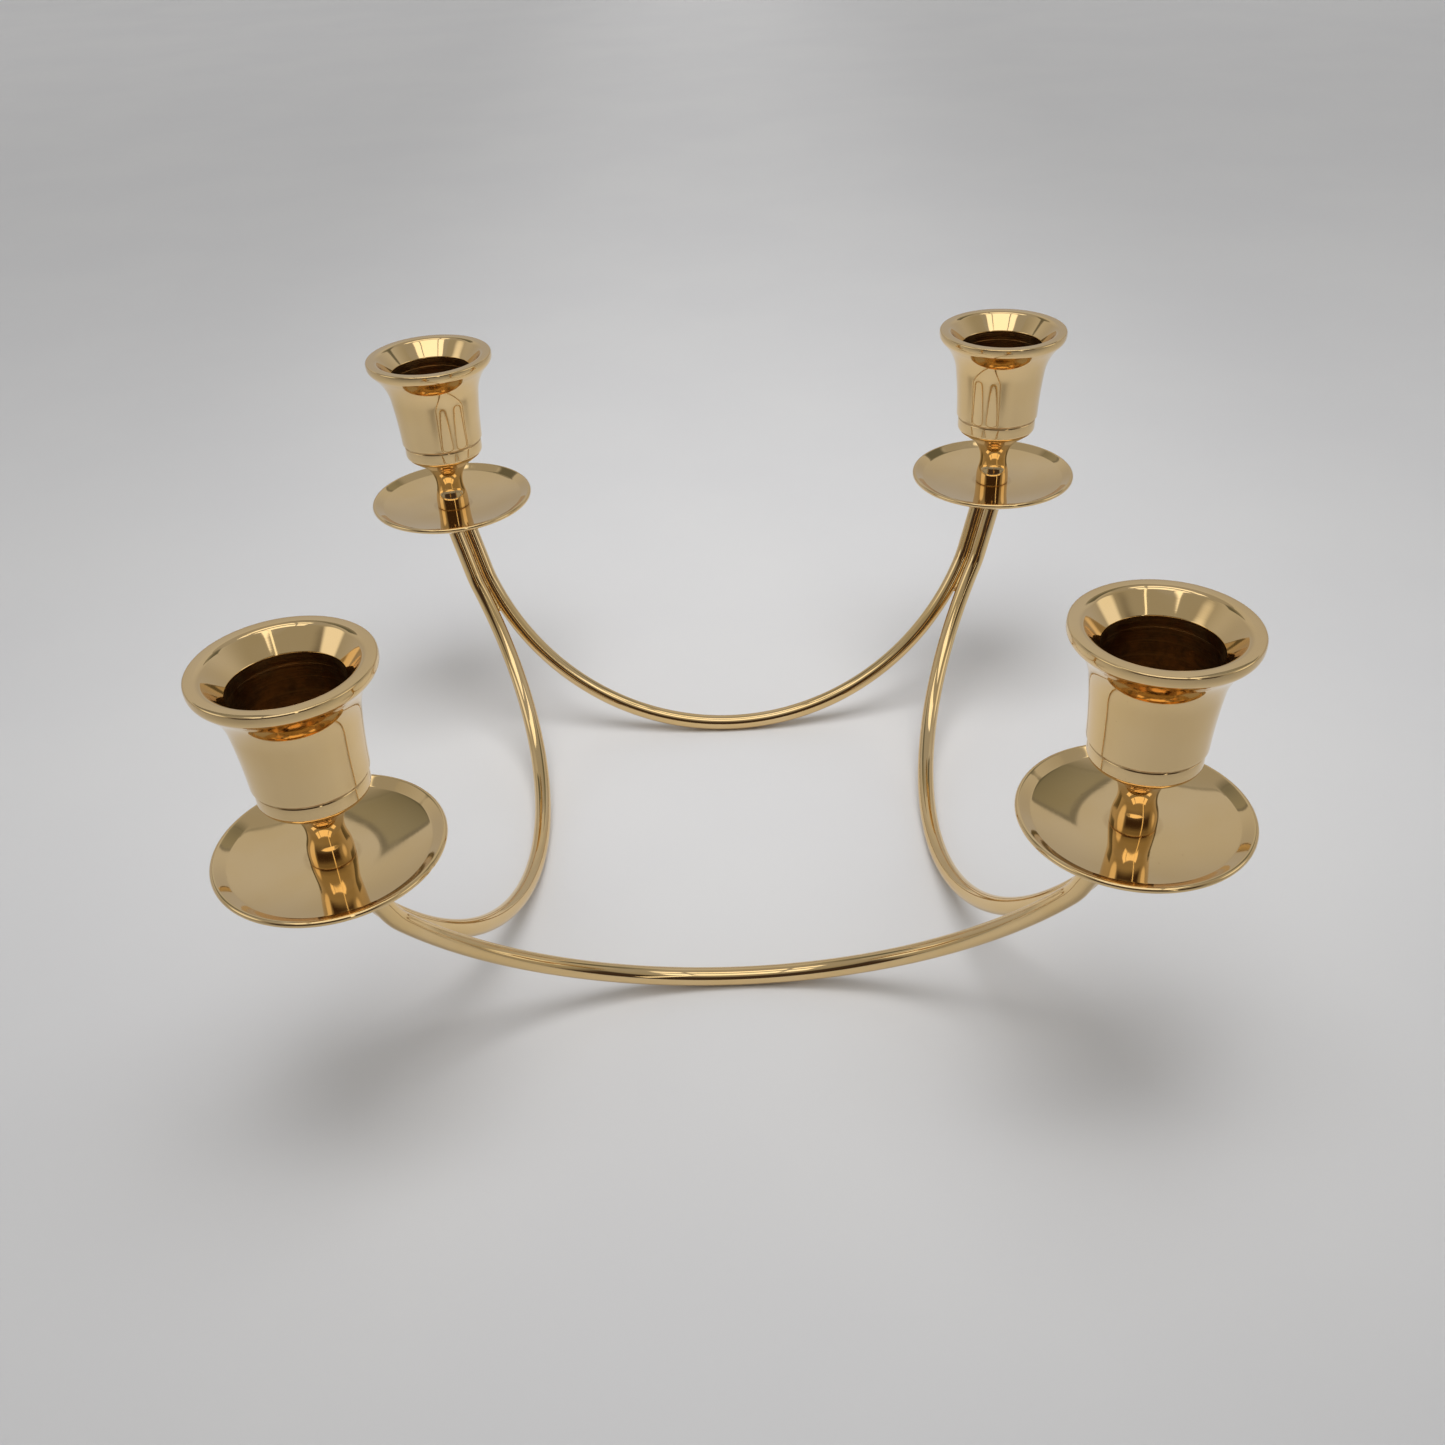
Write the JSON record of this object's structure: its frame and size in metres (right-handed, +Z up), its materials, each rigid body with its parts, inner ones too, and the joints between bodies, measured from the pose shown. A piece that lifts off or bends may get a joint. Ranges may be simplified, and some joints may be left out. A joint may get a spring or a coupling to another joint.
{
  "type": "tabletop candelabra",
  "caption": "Low tabletop candelabra: U-bent brass rods join flared candle cups on dished drip pans at the corners of a square.",
  "frame": {"origin": "middle of the square of candle cups, on the table top", "axes": "+Z up along the candles, +X towards the right cups, +Y towards the back cups"},
  "size_m": [0.2066, 0.2066, 0.1129],
  "materials": {
    "polished_brass": "high polish",
    "turned_brass": "turned, unpolished",
    "braze_filler": "brazed, partly polished, slightly pitted"
  },
  "bodies": {
    "root": {"rod_front": "polished_brass", "rod_right": "polished_brass", "rod_back": "polished_brass", "rod_left": "polished_brass", "candle_cup_front_left": "polished_brass", "drip_pan_front_left": "polished_brass", "mounting_stud_front_left": "turned_brass", "braze_web_front_left": "braze_filler", "candle_cup_front_right": "polished_brass", "drip_pan_front_right": "polished_brass", "mounting_stud_front_right": "turned_brass", "braze_web_front_right": "braze_filler", "candle_cup_back_left": "polished_brass", "drip_pan_back_left": "polished_brass", "mounting_stud_back_left": "turned_brass", "braze_web_back_left": "braze_filler", "candle_cup_back_right": "polished_brass", "drip_pan_back_right": "polished_brass", "mounting_stud_back_right": "turned_brass", "braze_web_back_right": "braze_filler"}
  },
  "joints": []
}
